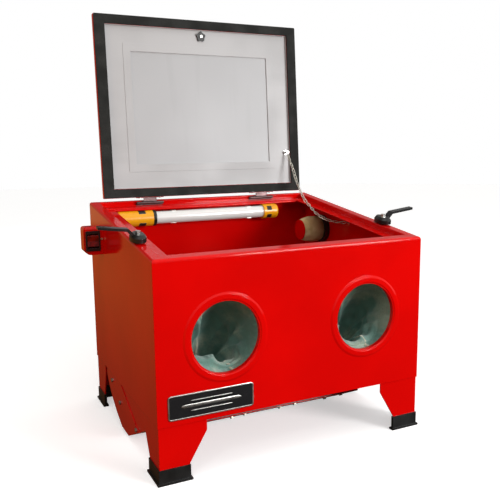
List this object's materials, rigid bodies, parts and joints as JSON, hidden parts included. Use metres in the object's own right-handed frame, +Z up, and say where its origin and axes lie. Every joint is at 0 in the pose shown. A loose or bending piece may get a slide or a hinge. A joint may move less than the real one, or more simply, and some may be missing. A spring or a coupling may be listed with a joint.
{
  "type": "benchtop sandblast cabinet",
  "caption": "Red sheet-metal benchtop blast cabinet with a hinged window lid, glove ports, hopper, lamp and exhaust filter.",
  "frame": {"origin": "on the floor under the middle of the whole outline, lid open", "axes": "+Z up, +Y to the back where the lid is hinged, +X to the right of a user at the glove ports"},
  "size_m": [0.714, 0.5274, 0.9085],
  "materials": {
    "red_paint": "glossy powder coat",
    "black_plastic": "moulded, satin",
    "black_rubber": "matte",
    "zinc_steel": "zinc plated",
    "white_paint": "pale grey, satin",
    "clear_glass": "faintly frosted",
    "grate_steel": "perforated sheet",
    "yellow_plastic": "glossy moulded",
    "lamp_glass": "translucent tube",
    "filter_paper": "pleated paper",
    "glove_cloth": "coated cotton",
    "ceramic": "glazed",
    "gun_alloy": "as cast",
    "brass": "turned",
    "red_lens": "translucent",
    "plate_black": "satin black with a bare edge"
  },
  "bodies": {
    "cabinet": {"front_panel": "red_paint", "left_side_panel": "red_paint", "right_side_panel": "red_paint", "rear_panel": "red_paint", "rear_rim_rail": "red_paint", "rim_screws": "zinc_steel", "left_glove": "glove_cloth", "right_glove": "glove_cloth", "glove_clamps": "zinc_steel", "name_plate": "plate_black", "front_left_leg": "red_paint", "front_right_leg": "red_paint", "rear_left_leg": "red_paint", "rear_right_leg": "red_paint", "foot_caps": "black_rubber", "hopper_trough": "red_paint", "hopper_left_end": "red_paint", "hopper_right_end": "red_paint", "clean_out_gasket": "black_rubber", "clean_out_cover": "red_paint", "hopper_bolts": "zinc_steel", "leg_bolts": "zinc_steel", "work_grate": "grate_steel", "lamp_tube": "lamp_glass", "lamp_left_cap": "yellow_plastic", "lamp_right_cap": "yellow_plastic", "lamp_clips": "zinc_steel", "filter_element": "filter_paper", "filter_end_plate": "red_paint", "filter_base_plate": "black_plastic", "filter_rod": "zinc_steel", "gun_body": "gun_alloy", "gun_nozzle": "ceramic", "gun_trigger_pin": "zinc_steel", "air_inlet_fitting": "brass", "switch_box": "red_paint", "switch_bezel": "black_plastic", "switch_screw": "zinc_steel", "latch_screws": "zinc_steel", "hinge_rear_leaves": "zinc_steel", "hinge_pins": "zinc_steel", "chain_anchor": "zinc_steel", "lid_chain": "zinc_steel"},
    "lid": {"lid_shell": "red_paint", "lid_tray": "white_paint", "window_pane": "clear_glass", "window_frame": "white_paint", "lid_gasket": "black_rubber", "knob_washer": "black_plastic", "knob_screw": "zinc_steel", "lift_knob": "black_plastic", "hinge_lid_leaves": "zinc_steel", "lid_hinge_screws": "zinc_steel", "chain_bolt": "zinc_steel"},
    "left_latch": {"left_latch_lever": "black_plastic"},
    "right_latch": {"right_latch_lever": "black_plastic"},
    "switch_rocker": {"rocker_switch": "red_lens"},
    "trigger": {"gun_trigger": "black_plastic"}
  },
  "joints": [
    {"name": "lid_hinge", "type": "hinge", "parent": "cabinet", "child": "lid", "pos_m": [0, 0.19803, 0.4739], "axis": [1, 0, 0], "range_deg": [0, 101.82], "deforming": ["lid_chain"]},
    {"name": "left_latch_turn", "type": "hinge", "parent": "cabinet", "child": "left_latch", "pos_m": [-0.281, -0.14223, 0.43091], "axis": [0, -0.1361, 0.9907], "range_deg": [0, 90]},
    {"name": "right_latch_turn", "type": "hinge", "parent": "cabinet", "child": "right_latch", "pos_m": [0.281, -0.14223, 0.43091], "axis": [0, 0.1361, -0.9907], "range_deg": [0, 90]},
    {"name": "rocker_tilt", "type": "hinge", "parent": "cabinet", "child": "switch_rocker", "pos_m": [-0.315, 0.09634, 0.4055], "axis": [1, 0, 0], "range_deg": [-8, 8]},
    {"name": "trigger_pull", "type": "hinge", "parent": "cabinet", "child": "trigger", "pos_m": [0.032, -0.10123, 0.141], "axis": [0, 0, -1], "range_deg": [0, 12], "stiffness_Nm_per_rad": 0.5}
  ]
}
